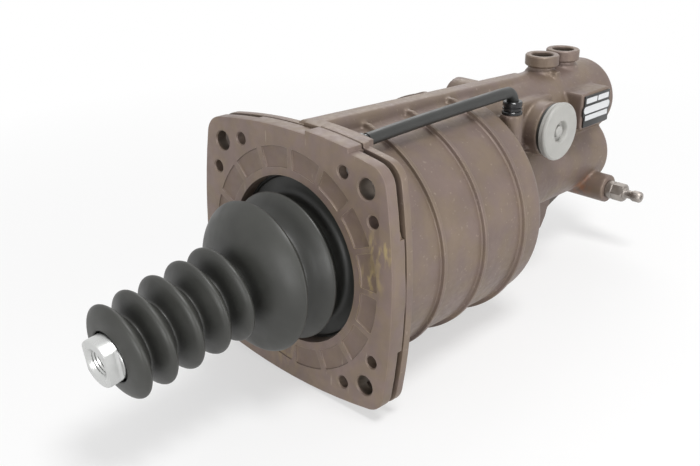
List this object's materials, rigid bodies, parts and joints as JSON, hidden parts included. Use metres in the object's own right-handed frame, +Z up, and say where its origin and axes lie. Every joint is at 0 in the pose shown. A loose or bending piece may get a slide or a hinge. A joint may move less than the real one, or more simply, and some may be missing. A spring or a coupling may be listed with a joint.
{
  "type": "clutch servo",
  "caption": "Air and hydraulic clutch booster with a square flange, ribbed barrel, ported valve cylinder, bleed screw and a push rod under a rubber bellows.",
  "frame": {"origin": "where the main axis meets the front plate's mounting face", "axes": "+X along the main axis from the mounting face towards the rear cylinders, +Z up through the valve cylinder and its ports, -Y towards the vent cap and bleed screw"},
  "size_m": [0.4061, 0.1466, 0.1499],
  "materials": {
    "anodised_alloy": "dull brown anodised casting",
    "machined_alloy": "machined",
    "plain_steel": "turned, oiled",
    "spring_steel": "drawn wire",
    "zinc_plate": "bright zinc plate",
    "bronze": "machined",
    "rubber": "moulded, dull",
    "nylon": "plain",
    "felt": "pressed felt",
    "hose": "smooth, dull",
    "black_plastic": "moulded",
    "cap_plastic": "fine grain",
    "plate_black": "black with bare fields"
  },
  "bodies": {
    "housing": {"cylinder_housing": "anodised_alloy", "front_plate": "anodised_alloy", "cover_seal": "rubber", "cover_screw_1": "zinc_plate", "cover_screw_2": "zinc_plate", "cover_screw_3": "zinc_plate", "cover_screw_4": "zinc_plate", "boot": "rubber", "boot_ring": "zinc_plate", "piston_spring": "spring_steel", "plunger_guide": "bronze", "plunger_seal": "rubber", "plunger_circlip": "spring_steel", "valve_circlip": "spring_steel", "valve_plug": "plain_steel", "valve_plug_seal": "rubber", "valve_sleeve": "bronze", "valve_sleeve_seal": "rubber", "relay_spring": "spring_steel", "inlet_seat": "bronze", "inlet_spring": "spring_steel", "vent_cap": "cap_plastic", "vent_seal": "rubber", "vent_filter": "felt", "vent_tube": "hose", "tube_nozzle": "black_plastic", "tube_grommet": "black_plastic", "name_plate": "plate_black", "bleed_screw": "plain_steel", "ball_plug": "plain_steel"},
    "piston": {"air_piston": "machined_alloy", "piston_seal": "rubber", "piston_band": "nylon", "plunger": "plain_steel", "ball_seat": "nylon", "ball_retainer": "bronze", "ball_circlip": "plain_steel"},
    "rod": {"push_rod": "plain_steel", "rod_end": "zinc_plate"},
    "control_valve": {"control_piston": "plain_steel", "control_piston_seal": "rubber", "relay_piston": "machined_alloy", "relay_piston_seal": "rubber"},
    "inlet_valve": {"inlet_disc": "rubber"}
  },
  "joints": [
    {"name": "piston_slide", "type": "slide", "parent": "housing", "child": "piston", "axis": [1, 0, 0], "range_m": [0, 0.065], "stiffness_N_per_m": 400, "springref_m": -0.03, "deforming": ["boot", "piston_spring"]},
    {"name": "rod_tilt", "type": "hinge", "parent": "piston", "child": "rod", "pos_m": [-0.025, 0, 0], "axis": [0, 1, 0], "range_deg": [0, 16], "deforming": ["boot"]},
    {"name": "control_slide", "type": "slide", "parent": "housing", "child": "control_valve", "axis": [1, 0, 0], "range_m": [0, 0.0035], "stiffness_N_per_m": 1500, "springref_m": -0.005, "deforming": ["relay_spring"]},
    {"name": "inlet_lift", "type": "slide", "parent": "housing", "child": "inlet_valve", "axis": [1, 0, 0], "range_m": [0, 0.0025], "deforming": ["inlet_spring"]}
  ],
  "couplings": [
    {"joint": "inlet_lift", "follows": "control_slide", "ratio": 0.71429}
  ]
}
